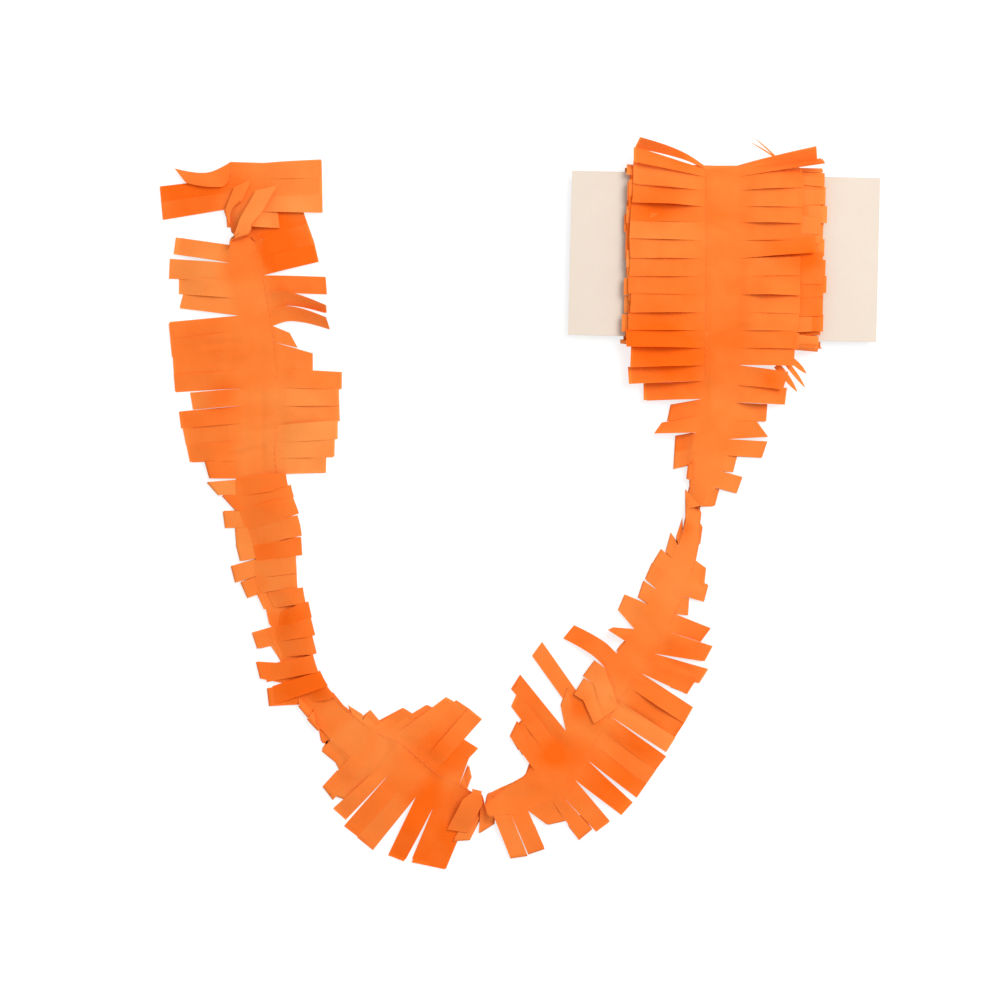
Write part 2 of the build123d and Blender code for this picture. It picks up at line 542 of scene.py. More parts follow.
# Strips seen partly from the edge, because their tips stand: side, strip, and which edge is
# up, -1 for the first and 1 for the last
standing_tips = [
    ("inner", 8, -1),
    ("inner", 9, -1),
    ("inner", 59, -1),
    ("inner", 87, -1),
    ("outer", 87, -1),
    ("inner", 88, 1),
    ("outer", 88, 1),
    ("inner", 72, -1),
]

# Creases of the handled paper: pixels of the two ends, height in millimetres and half width in
# pixels. Below zero the paper dips.
creases = [
    (703, 337, 754, 318, 0.9, 3.5),
    (722, 293, 742, 262, -0.6, 4),
    (712, 222, 735, 235, 0.5, 3),
    (740, 262, 742, 290, 0.5, 5),
    (646, 281, 662, 261, 1.0, 4),
    (705, 150, 705, 420, -0.35, 2.2),
    (228, 368, 262, 352, -0.7, 3),
    (255, 432, 285, 424, -0.6, 2.5),
    (262, 395, 262, 470, -0.4, 3),
    (232, 458, 262, 448, -0.8, 3),
    (206, 345, 240, 342, -0.5, 3),
    (285, 405, 330, 440, 0.9, 16),
    (205, 265, 245, 290, 0.8, 14),
    (390, 745, 360, 790, -0.7, 3),
    (372, 730, 350, 770, 0.7, 9),
    (405, 742, 432, 778, -0.9, 8),
    (430, 715, 400, 745, 0.8, 9),
    (560, 745, 548, 760, -1.2, 8),
    (590, 715, 640, 745, 0.8, 8),
    (565, 800, 600, 775, 0.9, 12),
    (500, 795, 540, 780, 0.8, 7),
    (608, 700, 650, 722, -0.7, 4),
    (660, 655, 690, 672, -0.7, 4),
    (648, 612, 672, 640, 0.9, 8),
    (660, 568, 690, 590, 0.7, 12),
    (700, 445, 716, 380, 0.7, 10),
]

# Turns on the card, from the innermost to the outermost: pixel of each turn's middle
turn_middle_pixels = [721, 716, 728, 720, 734, 713, 729, 722, 711, 735]
# How they lie: their distances off the card, how unevenly they and their fringe lie, and how many
# of the outermost turns are loose
first_turn_off_card = 0.0004
turn_spacing = 0.0005
turn_shift_spread = 0.0004
turn_tip_spread = 0.0013
turn_lean_spread = 0.04
turn_lift_spread = 0.0007
loose_turns = 2
pressed_turn_share = 0.3
spans_across_turn = 4
spans_along_turn_strip = 6

# Where the band turns over: the cosine of its twist at which its edges change sides, the least
# share of its width that stays level, and the share of its standing height that isn't pressed flat
crease_over = 0.1
least_level_share = 0.8
standing_share = 0.4

# How far the fringe reaches out before it folds back over the band: strip, and pixels
fold_reaches = [
    (18, 8),
    (19, 11),
    (20, 10),
    (21, 8),
    (22, 7),
    (23, 0.5),
    (24, 0.5),
    (25, 6),
    (26, 9),
    (27, 8),
    (28, 5),
    (29, 1),
    (30, 3),
    (31, 2),
    (55, 11),
    (56, 13),
]

# How far the band is drawn askew, so that its inner edge runs ahead of its outer edge: slit, and
# the lead of the inner edge as a share of half the band's width
band_skews = [(0, 0), (58, 0), (61, 0.5), (66, 0.4), (68, 0), (89, 0)]

# Strips that bend sideways: side, strip, and how far in pixels of x and y
bent_strips = [
    ("outer", 0, 2, 8),
    ("inner", 8, 0, -5),
    ("inner", 9, 0, -6),
    ("inner", 57, 1, -3),
    ("inner", 88, 0, -3),
]
elbow_place = 0.35

# Slivers and pointed ends that tore loose: pixels of the foot and of the tip, width at the foot in
# pixels, and the heights of both in millimetres
slivers = [
    (773, 160, 748, 145, 1.6, 11, 12),
    (774, 160, 752, 141, 1.6, 11, 12.5),
    (775, 366, 796, 392, 7, 8.5, 5),
    (784, 363, 804, 388, 5, 8.5, 5.5),
    (790, 361, 805, 374, 6, 9, 6),
]
sliver_bow = 0.0012
sliver_tone = 0.7
sliver_end_share = 0.1
spans_along_sliver = 8

# Heights over the table, and how much higher the upper ply lies
lowest_paper = 0.0002
lowest_band = 0.0004
strip_rest = 0.0004
upper_ply_rise = 0.0003
highest_standing_tip = 0.006

# Gap between two tips, in pixels, that is closed, since the paper was only slit there
widest_closed_slit = 3.4

# Strips folded over the band: the cosine between the ways out and to the tip that tells them, how
# far they reach out, and the radius and spans of the fold
folded_below = -0.15
usual_fold_reach = 0.002
fold_radius = 0.0006
spans_in_fold = 8

# Strips tucked under at the tip: how much paper is left over, and how the edge and the tuck lie
least_tuck = 0.012
longest_tuck = 0.018
longest_tuck_share = 0.85
untucked_length = 0.002
tuck_edge = 0.0003
tuck_edge_height = 0.0011
tucked_ply_gap = 0.0002
drop_share = 0.6
fewest_rows = 6
slits_on_roll = 14

# Strips askew to their root: the cosine between root and tip that tells them, and the shares of the
# length in which they turn and widen
askew_below = 0.85
turned_by = 0.4
widened_by = 0.2

# Bows, lifts and uneven cuts of the strips, and the powers that shape them
bow_share = 0.3
highest_bow = 0.0022
held_bow_share = 0.3
usual_lift = 0.0003
short_cut_spread = 0.0011
side_cut_spread = 0.0004
bow_rate = 1.06
bow_power = 1.3
lift_power = 1.5
come_down_power = 2.2
tone_spread = 0.09

# Waves of the soft paper, in metres
broad_wave = 0.05
broad_height = 0.0011
broad_seed = 77
fine_wave = 0.013
fine_height = 0.00016
fine_seed = 78
waves_in_ripple = 6
band_wave_share = 0.5
wave_lift_share = 0.45

# Tones of the materials, from the lightest to the deepest
# The tissue's deep tone also serves as painted shade, and its light tone as painted light over
# white
tissue_tones_and_shade = (1.0, 0.335, 0.078), (1.0, 0.154, 0.007)
glow_tones = (1.0, 0.60, 0.2), (1.0, 0.38, 0.05)
board_tones = (0.71, 0.61, 0.515), (0.68, 0.575, 0.485)
thread_tones = (1.0, 0.27, 0.055), (1.0, 0.22, 0.04)

# Table, lamp and camera
table_size = 6.0
lamp_size = 1.2
lamp_power = 30
lamp_from_middle = (0.9, 0.8, 1.6)
sky_strength = 0.66
camera_height = 1.42
sensor_width = 36

up = np.array([0, 0, 1])
level_only = np.array([1, 1, 0])
chance = np.random.default_rng(11)


def on_table(x, y, height=0.0):
    """The point over a pixel of the photograph, at a height in metres."""
    across = (np.asarray(x, float) - card_centre_pixel[0]) * pixel
    along = (card_centre_pixel[1] - np.asarray(y, float)) * pixel
    turned_x = across * np.cos(card_turn) - along * np.sin(card_turn)
    turned_y = across * np.sin(card_turn) + along * np.cos(card_turn)
    return np.stack([turned_x, turned_y, height + 0 * turned_x], axis=-1)


def unit(vectors):
    """Vectors scaled to length one."""
    return vectors / np.maximum(np.linalg.norm(vectors, axis=-1, keepdims=True), 1e-9)


def shares(spans):
    """Even shares from 0 to 1, one more than there are spans."""
    return np.linspace(0, 1, spans + 1)


def from_root(along, rate):
    """What grows from 0 at a strip's root to 1, and stays there."""
    return np.minimum(along * rate, 1)


def lengths_along(points):
    """How far along a line its points lie."""
    return np.concatenate([[0], np.cumsum(np.linalg.norm(np.diff(points, axis=0), axis=1))])


def read_off(lengths, reached, rows):
    """Rows of numbers between those that are known where a line has reached certain lengths."""
    return np.stack([np.interp(lengths, reached, column) for column in rows.T], axis=1)


def curve_through(rows, steps):
    """A smooth curve through rows of numbers, with a number of steps between two rows."""
    ends = np.vstack([2 * rows[0] - rows[1], rows, 2 * rows[-1] - rows[-2]])
    share = (np.arange(steps) / steps)[:, None]
    pieces = []
    for before, start, end, after in zip(ends, ends[1:], ends[2:], ends[3:]):
        pieces.append(
            start
            + (end - before) * share / 2
            + (before - 2.5 * start + 2 * end - after / 2) * share**2
            + (1.5 * (start - end) + (after - before) / 2) * share**3
        )
    return np.vstack(pieces + [rows[-1:]])


def ripple(points, wavelength, seed):
    """A smooth uneven height from -1 to 1 for points, as tissue has after it was handled."""
    waves = np.random.default_rng(seed)
    total = np.zeros(points.shape[:-1])
    for _ in range(waves_in_ripple):
        direction = unit(waves.normal(size=3) * [1, 1, 0.3]) * 2 * pi
        direction /= wavelength * waves.uniform(0.7, 1.7)
        total += np.sin(points @ direction + waves.uniform(0, 2 * pi))
    return total / waves_in_ripple


def wave_height(points):
    """How far the paper's broad and fine waves lift it at points."""
    broad = ripple(points, broad_wave, broad_seed) * broad_height
    return broad + ripple(points, fine_wave, fine_seed) * fine_height


def crease_height(points):
    """How far the creases lift the paper at points."""
    total = np.zeros(points.shape[:-1])
    for x0, y0, x1, y1, height, half_width in creases:
        start = on_table(x0, y0)[:2]
        run = on_table(x1, y1)[:2] - start
        place = np.clip(((points[..., :2] - start) @ run) / (run @ run), 0, 1)
        nearest = start + place[..., None] * run
        away = np.linalg.norm(points[..., :2] - nearest, axis=-1)
        total += height / 1000 * np.exp(-((away / (half_width * pixel)) ** 2))
    return total


def painted_shade_and_light_at(points):
    """How much deeper the paper's tone is at points: painted shade from the layers and shadows that
    lie there, and painted light where one layer lies over white.
    """
    depth = np.zeros(points.shape[:-1])
    for x, y, radius, change in painted_shade_and_light_places:
        away = np.linalg.norm(points[..., :2] - on_table(x, y)[:2], axis=-1) / (radius * pixel)
        depth += change * np.exp(-(away**2))
    return depth


def grid_faces(indices):
    """Four-sided faces between neighbouring entries of a grid of vertex numbers."""
    quads = []
    for row, following in zip(indices[:-1], indices[1:]):
        for column in range(len(row) - 1):
            quads.append((row[column], row[column + 1], following[column + 1], following[column]))
    return quads


class Paper:
    """Collects the vertices, tones and faces of one piece."""

    def __init__(self):
        self.points = []
        self.tones = []
        self.faces = []

    def add_points(self, points, tones):
        """Adds a grid of vertices, and gives their numbers in the same grid."""
        first = len(self.points)
        self.points.extend(points.reshape(-1, 3))
        # The tone takes in painted shade and painted light at the listed places
        self.tones.extend((np.zeros(points.shape[:-1]) + (tones + painted_shade_and_light_at(points))).ravel())
        return first + np.arange(points.size // 3).reshape(points.shape[:-1])

    def add_sheet(self, points, tones=usual_tone):
        """Adds a grid of vertices with the faces between them."""
        indices = self.add_points(points, tones)
        self.faces.extend(grid_faces(indices.tolist()))
        return indices

    def add_fringe(self, root_indices, points, tones, edge):
        """Adds a strip below its root, which vertices on the band's first or last edge make."""
        indices = np.vstack([root_indices, self.add_points(points, tones)])
        self.faces.extend(grid_faces(indices[:, ::-edge].tolist()))


def place_object(name, data):
    """A new object in the scene."""
    thing = bpy.data.objects.new(name, data)
    bpy.context.collection.objects.link(thing)
    return thing


def new_piece(name, paper, material, node):
    """A mesh object that rides on the garland, and stands for a node of the frame."""
    mesh = bpy.data.meshes.new(name)
    mesh.from_pydata([tuple(point) for point in paper.points], [], paper.faces)
    tone = mesh.attributes.new("tone", "FLOAT", "POINT")
    tone.data.foreach_set("value", np.array(paper.tones, np.float32))
    mesh.materials.append(material)
    mesh.shade_smooth()
    piece = place_object(name, mesh)
    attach(piece, "root")
    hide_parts(node)
    return piece


def tips_of(rows, strips):
    """Two tip corners in pixels for every strip, and whether it lies in one run with others."""
    corners = np.zeros((strips, 2, 2))
    joined = np.zeros(strips, bool)
    for first, last, x0, y0, x1, y1 in rows:
        for strip in range(first, last):
            joined[strip] = last - first > 1
            for end in (0, 1):
                share = (strip + end - first) / (last - first)
                corners[strip, end] = (x0 + (x1 - x0) * share, y0 + (y1 - y0) * share)
    for here, there in zip(corners[:-1], corners[1:]):
        edge = unit(there[1] - here[0])
        gap = (there[0] - here[1]) @ edge
        if 0 < gap < widest_closed_slit:
            here[1] += edge * gap / 2
            there[0] -= edge * gap / 2
    return corners, joined


def by_strip(rows, usual):
    """A value for every strip, from rows of a first slit, a last slit and a value."""
    values = np.full(slit_total, usual)
    for first, last, value in rows:
        values[first:last] = value
    return values


def tones_and_shade_of(rows, seed):
    """The tone of every strip of one side, a little uneven, with its painted shade."""
    uneven = np.random.default_rng(seed).normal(0, tone_spread, slit_total)
    return np.clip(by_strip(rows, usual_tone) + uneven, 0, 1)


# Band of the loose length: its middle, forward, across and normal at every span between two slits
route = np.array(band_route, float)
route_points = on_table(route[:, 0], route[:, 1], route[:, 2] / 1000)
curve = curve_through(np.column_stack([route_points, route[:, 3:]]), steps_on_route)
reached = lengths_along(curve[:, :3])
print("length of the route, in metres", round(reached[-1], 4))

anchors = np.array(slit_anchors, float)
anchor_points = on_table(anchors[:, 1], anchors[:, 2])[:, :2]
off_anchor = np.linalg.norm(curve[None, :, :2] - anchor_points[:, None], axis=2)
anchor_lengths = reached[off_anchor.argmin(axis=1)]
anchor_lengths[-1] = reached[-1]
slit_total = slit_anchors[-1][0]
station_slits = np.linspace(0, slit_total, slit_total * spans_per_slit + 1)
station_lengths = np.interp(station_slits, anchors[:, 0], anchor_lengths)
stations = read_off(station_lengths, reached, curve)

band_middle = stations[:, :3]
forward = unit(np.gradient(band_middle, axis=0))
skew = np.interp(station_slits, *np.array(band_skews, float).T)
outward = unit(unit(np.cross(forward, up)) - forward * skew[:, None])
# Where the band turns over it is pressed flat, so its edges change sides in one crease
twist = stations[:, 3] * pi
facing_up = np.cos(twist)
level_share = np.tanh(facing_up / crease_over) * np.maximum(abs(facing_up), least_level_share)
raised_share = np.sin(twist) * standing_share
over_band = outward * level_share[:, None] + np.cross(outward, forward) * raised_share[:, None]
across_band = unit(over_band)
gather = np.minimum(stations[:, 4], 1) * np.linalg.norm(over_band, axis=1)
band_normal = np.cross(across_band, forward)

# What is known of each strip, by its side and number
rest_heights = {
    "outer": by_strip(outer_heights, strip_rest * 1000) / 1000,
    "inner": by_strip(inner_heights, strip_rest * 1000) / 1000,
}
lifts = {
    (side, strip): (first / 1000, last / 1000)
    for side, rows in (("outer", outer_lifts), ("inner", inner_lifts))
    for strip, first, last in rows
}
bends = {(side, strip): (x * pixel, -y * pixel) for side, strip, x, y in bent_strips}
standing = {(side, strip): edge_up for side, strip, edge_up in standing_tips}
fold_reach = {strip: reach * pixel for strip, reach in fold_reaches}
# Each strip's tone and the band's, with the painted shade of strips in shadow or under other paper
tones = {"outer": tones_and_shade_of(outer_tones_and_shade, 21), "inner": tones_and_shade_of(inner_tones_and_shade, 22)}
mean_tones_and_shade = (tones["outer"] + tones["inner"]) / 2
band_tones_and_shade = np.interp(station_slits - 0.5, np.arange(slit_total), mean_tones_and_shade)
tip_corners = {}
in_a_run = {}
for side, rows in (("outer", outer_tips), ("inner", inner_tips)):
    tip_corners[side], in_a_run[side] = tips_of(rows, slit_total)


def tip_edge(side, strip):
    """The tip's edge from its first to its last corner, as wide as the strip is cut."""
    first, last = on_table(*tip_corners[side][strip].T, rest_heights[side][strip])
    edge = last - first
    width = np.linalg.norm(edge)
    across = shares(spans_per_slit)[:, None]
    if (side, strip) in standing:
        rise = min(np.sqrt(max(slit_pitch**2 - width**2, 0)), highest_standing_tip)
        raised = 1 - across if standing[side, strip] < 0 else across
        return first + edge * across + up * rise * raised
    middle = (first + last) / 2
    half_edge = unit(edge) * max(width, slit_pitch) / 2
    return middle - half_edge + 2 * half_edge * across


def swing(root, tip, share):
    """A strip whose edge turns from its root's direction to its tip's, and keeps its width."""
    root_edge, last_edge = root[-1] - root[0], tip[-1] - tip[0]
    turned = np.clip(share / turned_by, 0, 1)
    edge = unit(root_edge * (1 - turned) + last_edge * turned)
    widened = np.clip(share / widened_by, 0, 1)
    width = np.linalg.norm(root_edge) * (1 - widened) + np.linalg.norm(last_edge) * widened
    middle = root.mean(axis=0) * (1 - share) + tip.mean(axis=0) * share
    return middle + edge * width * (shares(len(root) - 1)[None, :, None] - 0.5)


def folded_strip(strip, root, root_out, tip):
    """A strip that bends up over its root and lies back over the band."""
    out = unit(root_out.mean(axis=0) * level_only)
    angle = pi * shares(spans_in_fold)[:, None, None]
    bend = root[None] + out * fold_reach.get(strip, usual_fold_reach) * np.sin(angle)
    bend = bend + up * (1 - np.cos(angle)) * fold_radius
    if (bend[-1, -1] - bend[-1, 0]) @ (tip[-1] - tip[0]) < 0:
        tip = tip[::-1]
    share = shares(spans_along_strip - spans_in_fold)[1:, None, None]
    return np.concatenate([bend, swing(bend[-1], tip, share)])


def tucked_strip(root, tip, level, ply, distance, spare):
    """A strip with its spare length tucked under at the tip, and the row of its edge there."""
    tuck = min(spare - untucked_length, longest_tuck, distance * longest_tuck_share)
    edge_row = max(int(round(spans_along_strip * distance / (distance + tuck))), fewest_rows)
    sharp = tuck_edge / distance
    share = np.append(np.linspace(0, 1 - sharp, edge_row), 1)[:, None, None]
    over = root[None] * (1 - share) + tip[None] * share
    drop = root[:, 2][None] * (1 - share[..., 0]) ** 2
    height = over[:, :, 2] * (1 - drop_share) + drop_share * drop
    over[:, :, 2] = np.maximum(height, tuck_edge_height) + upper_ply_rise * ply
    share = np.linspace(tuck_edge / tuck, 1, spans_along_strip - edge_row)[:, None, None]
    back = tip[None] + level * (tucked_ply_gap * ply - tuck * share)
    back[:, :, 2] = strip_rest + tucked_ply_gap * (1 - ply)
    return np.concatenate([over, back]), edge_row


def open_strip(root, tip, stands):
    """A strip that runs from its root to its tip, and soon comes down to the tip's height."""
    share = shares(spans_along_strip)[:, None, None]
    sheet = root[None] * (1 - share) + tip[None] * share
    if unit(root[-1] - root[0]) @ unit(tip[-1] - tip[0]) < askew_below and not stands:
        sheet = swing(root, tip, share)
    ease = 1 - (1 - share[..., 0]) ** come_down_power
    sheet[:, :, 2] = root[:, 2][None] * (1 - ease) + tip[:, 2][None] * ease
    return sheet


def fringe_strip(side, strip, ply, root, root_out, seed):
    """The sheet of one fringe strip, from its root on the band's edge to its tip.

    root holds the root's points across the strip, and root_out the directions in which the band's
    surface leaves them. A strip whose tip lies beyond the band is folded over it, and one that is
    much longer than its way is tucked under at the tip.
    """
    luck = np.random.default_rng(seed)
    tip = tip_edge(side, strip)
    level = unit(((tip - root) * level_only).mean(axis=0))
    shorter = abs(luck.normal(0, short_cut_spread))
    aside = luck.normal(0, side_cut_spread)
    if ply == 0:
        tip = tip - level * shorter + np.cross(up, level) * aside
    distance = np.linalg.norm(tip - root, axis=1).mean()
    spare = fringe_length - distance
    folded = unit((root_out * level_only).mean(axis=0)) @ level < folded_below
    stands = (side, strip) in standing
    on_roll = strip >= slit_total - slits_on_roll
    tucked = spare > least_tuck and not (folded or stands or on_roll)
    if folded:
        sheet = folded_strip(strip, root, root_out, tip)
    elif tucked:
        sheet, edge_row = tucked_strip(root, tip, level, ply, distance, spare)
    else:
        sheet = open_strip(root, tip, stands)
    across = shares(spans_per_slit)[None, :]
    along = shares(spans_along_strip)[:, None]
    if (side, strip) in bends:
        elbow = np.sin(pi / 2 * np.minimum(along / elbow_place, (1 - along) / (1 - elbow_place)))
        sheet[:, :, :2] += np.array(bends[side, strip]) * elbow[..., None]
    # Bows, lifted edges, and the waves of soft paper
    swell = np.sin(pi * from_root(along, bow_rate)) ** bow_power
    bow = min(bow_share * np.sqrt(max(spare, 0) * distance), highest_bow) * luck.uniform(0.2, 1.0)
    if tucked or in_a_run[side][strip]:
        bow *= held_bow_share
    rise = swell * bow
    small_lifts = (luck.uniform(0, usual_lift), luck.uniform(0, usual_lift))
    first_lift, last_lift = lifts.get((side, strip), small_lifts)
    if not stands:
        lift = first_lift * (1 - across) ** lift_power + last_lift * across**lift_power
        rise = rise + from_root(along, 2.2) * (0.4 + 0.6 * swell) * lift
    waves = wave_height(sheet) + broad_height * wave_lift_share
    rise = rise + from_root(along, 4) * waves + from_root(along, 6) * crease_height(sheet)
    if tucked:
        above_tuck = (np.arange(spans_along_strip + 1) < edge_row)[:, None]
        rise = np.where(above_tuck, np.maximum(rise, 0), 0)
    sheet[:, :, 2] += rise
    sheet[1:, :, 2] = np.maximum(sheet[1:, :, 2], lowest_paper + upper_ply_rise * ply)
    return sheet


def sliver_sheet(foot_x, foot_y, tip_x, tip_y, width, foot_height, tip_height):
    """A pointed sliver of paper, from its foot to its tip."""
    foot = on_table(foot_x, foot_y, foot_height / 1000)
    point = on_table(tip_x, tip_y, tip_height / 1000)
    aside = unit(np.cross(point - foot, up)) * width * pixel / 2
    share = shares(spans_along_sliver)[:, None, None]
    narrow = (1 - share**3) * (1 - sliver_end_share) + sliver_end_share
    edges = np.array([-1, 0, 1])[None, :, None]
    sheet = foot * (1 - share) + point * share + aside * narrow * edges
    sheet[:, :, 2] += sliver_bow * np.sin(pi * share[..., 0])
    return sheet


def lay_ply(name, ply, material, node):
    """One ply of the loose length: its band, a fringe strip between each two slits, and slivers."""
    paper = Paper()
    offset = band_normal * (ply - 0.5) * ply_gap * np.sign(band_normal[:, 2:] + 1e-9)
    side_places = (shares(spans_across_band) - 0.5)[None, :, None]
    reach_across = (across_band * gather[:, None])[:, None, :] * side_places * band_width
    band = (band_middle + offset)[:, None, :] + reach_across
    band[:, :, 2] += wave_height(band) * band_wave_share + crease_height(band)
    band[:, :, 2] = np.maximum(band[:, :, 2], lowest_band + upper_ply_rise * ply)
    band_indices = paper.add_sheet(band, band_tones_and_shade[:, None])
    for strip in range(slit_total):
        first = strip * spans_per_slit
        root_stations = slice(first, first + spans_per_slit + 1)
        middle_station = first + spans_per_slit // 2
        facing = across_band[middle_station] @ outward[middle_station]
        root_tones_and_shade = band_tones_and_shade[root_stations][None, :]
        for edge in (-1, 1):
            side = "outer" if edge * facing > 0 else "inner"
            column = 0 if edge < 0 else spans_across_band
            root = band[root_stations, column]
            root_out = across_band[root_stations] * edge
            seed = 1000 * strip + 10 * (edge + 1) + 1
            sheet = fringe_strip(side, strip, ply, root, root_out, seed)
            blend = from_root(shares(spans_along_strip)[1:, None], 4)
            strip_tones_and_shade = root_tones_and_shade + (tones[side][strip] - root_tones_and_shade) * blend
            paper.add_fringe(band_indices[root_stations, column], sheet[1:], strip_tones_and_shade, edge)
    for sliver in slivers[ply::2]:
        paper.add_sheet(sliver_sheet(*sliver), sliver_tone)
    return new_piece(name, paper, material, node)


# Section of the card, which the turns go round
card_low, card_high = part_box("winding_card")
card_half_thickness = (card_high.z - card_low.z) / 2
card_straight = (card_high.y - card_low.y) - 2 * card_half_thickness
card_middle_z = (card_low.z + card_high.z) / 2


def turn_length(off_card):
    """Length of one turn at a distance off the card."""
    return 2 * card_straight + 2 * pi * (card_half_thickness + off_card)


def turn_path(off_card, lengths):
    """Points round the card and their outward normals, at lengths from the front of its top."""
    radius = card_half_thickness + off_card
    arc = pi * radius
    lengths = np.mod(lengths, turn_length(off_card))
    back = lengths - card_straight
    below = back - arc
    front = below - card_straight
    stretches = [back < 0, below < 0, front < 0]
    angles = [0 * lengths, back / radius, 0 * lengths + pi]
    angle = np.select(stretches, angles, pi + front / radius)
    end = card_straight / 2
    end_y = np.select(stretches, [lengths - end, 0 * lengths + end, end - below], -end)
    normal = np.stack([0 * angle, np.sin(angle), np.cos(angle)], axis=1)
    ends = np.stack([0 * angle, end_y, 0 * angle + card_middle_z], axis=1)
    return ends + normal * radius, normal


def wind_turns(name, ply, material, node):
    """One ply of the turns on the card with its fringe, and the length of paper that they take."""
    paper = Paper()
    wound = 0.0
    for turn, middle_pixel in enumerate(turn_middle_pixels):
        off_card = first_turn_off_card + turn * turn_spacing + ply * turn_spacing / 2
        strips = int(turn_length(off_card) / slit_pitch)
        start = chance.uniform(0, slit_pitch)
        lengths = start + np.arange(strips * spans_per_slit + 1) * slit_pitch / spans_per_slit
        points, normal = turn_path(off_card, lengths)
        shift = on_table(middle_pixel, card_centre_pixel[1])[0]
        shift += chance.normal(0, turn_shift_spread)
        band = points[:, None, :] + np.zeros((1, spans_across_turn + 1, 3))
        band[:, :, 0] = shift + (shares(spans_across_turn) - 0.5) * band_width
        band_indices = paper.add_sheet(band)
        wound += strips * slit_pitch
        loose = turn >= len(turn_middle_pixels) - loose_turns
        for strip in range(strips):
            first = strip * spans_per_slit
            root_stations = slice(first, first + spans_per_slit + 1)
            run = unit(points[first + spans_per_slit] - points[first])
            upward = np.maximum(normal[root_stations, 2], 0)[None]
            for edge in (-1, 1):
                column = 0 if edge < 0 else spans_across_turn
                reach = fringe_length + chance.normal(0, turn_tip_spread)
                lean = chance.normal(0, turn_lean_spread)
                lift = abs(chance.normal(0, turn_lift_spread))
                lift *= 1 if loose else pressed_turn_share
                direction = np.array([edge, 0, 0]) + run * [0, 1, 0] * lean
                along = shares(spans_along_turn_strip)[1:, None, None]
                sheet = band[root_stations, column][None] + direction * reach * along
                sheet[:, :, 2] += upward * lift * along[..., 0] ** 2
                deeper = chance.uniform(-0.25, 0.4) * from_root(along[..., 0], 3)
                root_indices = band_indices[root_stations, column]
                paper.add_fringe(root_indices, sheet, usual_tone + deeper, edge)
    return new_piece(name, paper, material, node), wound


def sew_seam(name, material, node):
    """The stitches along the band, each a short thread that dips into the paper at its two ends."""
    paper = Paper()
    reached = lengths_along(band_middle)
    ring = (np.arange(7) % 6 / 6 * 2 * pi)[None, :, None]
    dip = np.array([-1.0, 0.6, 0.9, 0.6, -1.0]) * thread_radius
    off_paper = (ply_gap + dip)[:, None]
    place = seam_start
    while place + stitch_length < reached[-1]:
        lengths = place + shares(len(dip) - 1) * stitch_length
        across = unit(read_off(lengths, reached, across_band))
        normal = unit(read_off(lengths, reached, band_normal))
        drawn_in = np.interp(lengths, reached, gather)[:, None]
        seam = read_off(lengths, reached, band_middle) - across * seam_from_middle * drawn_in
        for facing in (-1, 1):
            line = seam + normal * facing * off_paper
            tube = (
                line[:, None, :]
                + across[:, None, :] * np.cos(ring) * thread_radius
                + normal[:, None, :] * np.sin(ring) * thread_radius
            )
            tube[:, :, 2] = np.maximum(tube[:, :, 2], lowest_paper)
            paper.add_sheet(tube)
        place += stitch_length + stitch_gap
    return new_piece(name, paper, material, node)


# Materials


def node_of(tree, kind, place, inputs=None, **settings):
    """A shader node with its settings and the values of its inputs."""
    node = tree.nodes.new(kind)
    node.location = place
    for key, value in settings.items():
        setattr(node, key, value)
    for key, value in (inputs or {}).items():
        node.inputs[key].default_value = value
    return node


def new_material(name):
    """A material without nodes, and its tree."""
    material = bpy.data.materials.new(name)
    material.use_nodes = True
    material.node_tree.nodes.clear()
    return material, material.node_tree


def paper_fibre_group():
    """Fine crumple and fibres of thin paper: a height, and a mask that changes over the surface."""
    group = bpy.data.node_groups.new("paper_fibre", "ShaderNodeTree")
    for name, usual_value in (("Crumple Scale", 90), ("Fibre Scale", 900)):
        socket = group.interface.new_socket(name, in_out="INPUT", socket_type="NodeSocketFloat")
        socket.default_value = usual_value
    for name in ("Height", "Cloud"):
        group.interface.new_socket(name, in_out="OUTPUT", socket_type="NodeSocketFloat")
    into = node_of(group, "NodeGroupInput", (-900, 0))
    out = node_of(group, "NodeGroupOutput", (500, 0))
    place = node_of(group, "ShaderNodeTexCoord", (-900, -300))
    crumple = node_of(group, "ShaderNodeTexNoise", (-500, 200), {"Detail": 1})
    fibre = node_of(group, "ShaderNodeTexNoise", (-500, -100), {"Detail": 2})
    cloud = node_of(group, "ShaderNodeTexNoise", (-500, -400), {"Scale": 70, "Detail": 2})
    join = node_of(group, "ShaderNodeMath", (100, 100), {1: 0.35}, operation="MULTIPLY_ADD")
    link = group.links.new
    for noise in (crumple, fibre, cloud):
        link(place.outputs["Object"], noise.inputs["Vector"])
    link(into.outputs["Crumple Scale"], crumple.inputs["Scale"])
    link(into.outputs["Fibre Scale"], fibre.inputs["Scale"])
    link(fibre.outputs["Fac"], join.inputs[0])
    link(crumple.outputs["Fac"], join.inputs[2])
    link(join.outputs["Value"], out.inputs["Height"])
    link(cloud.outputs["Fac"], out.inputs["Cloud"])
    return group


def fibre_of(tree, group, crumple_scale, fibre_scale):
    """The fibre group in a material's tree, at its scales."""
    scales = {"Crumple Scale": crumple_scale, "Fibre Scale": fibre_scale}
    return node_of(tree, "ShaderNodeGroup", (-800, 0), scales, node_tree=group)


def two_tone(tree, mask, tones, place):
    """A colour that runs from one tone to the other with a mask."""
    light, deep = tones
    colours = {"A": (*light, 1), "B": (*deep, 1)}
    mix = node_of(tree, "ShaderNodeMix", place, colours, data_type="RGBA")
    tree.links.new(mask, mix.inputs["Factor"])
    return mix.outputs["Result"]


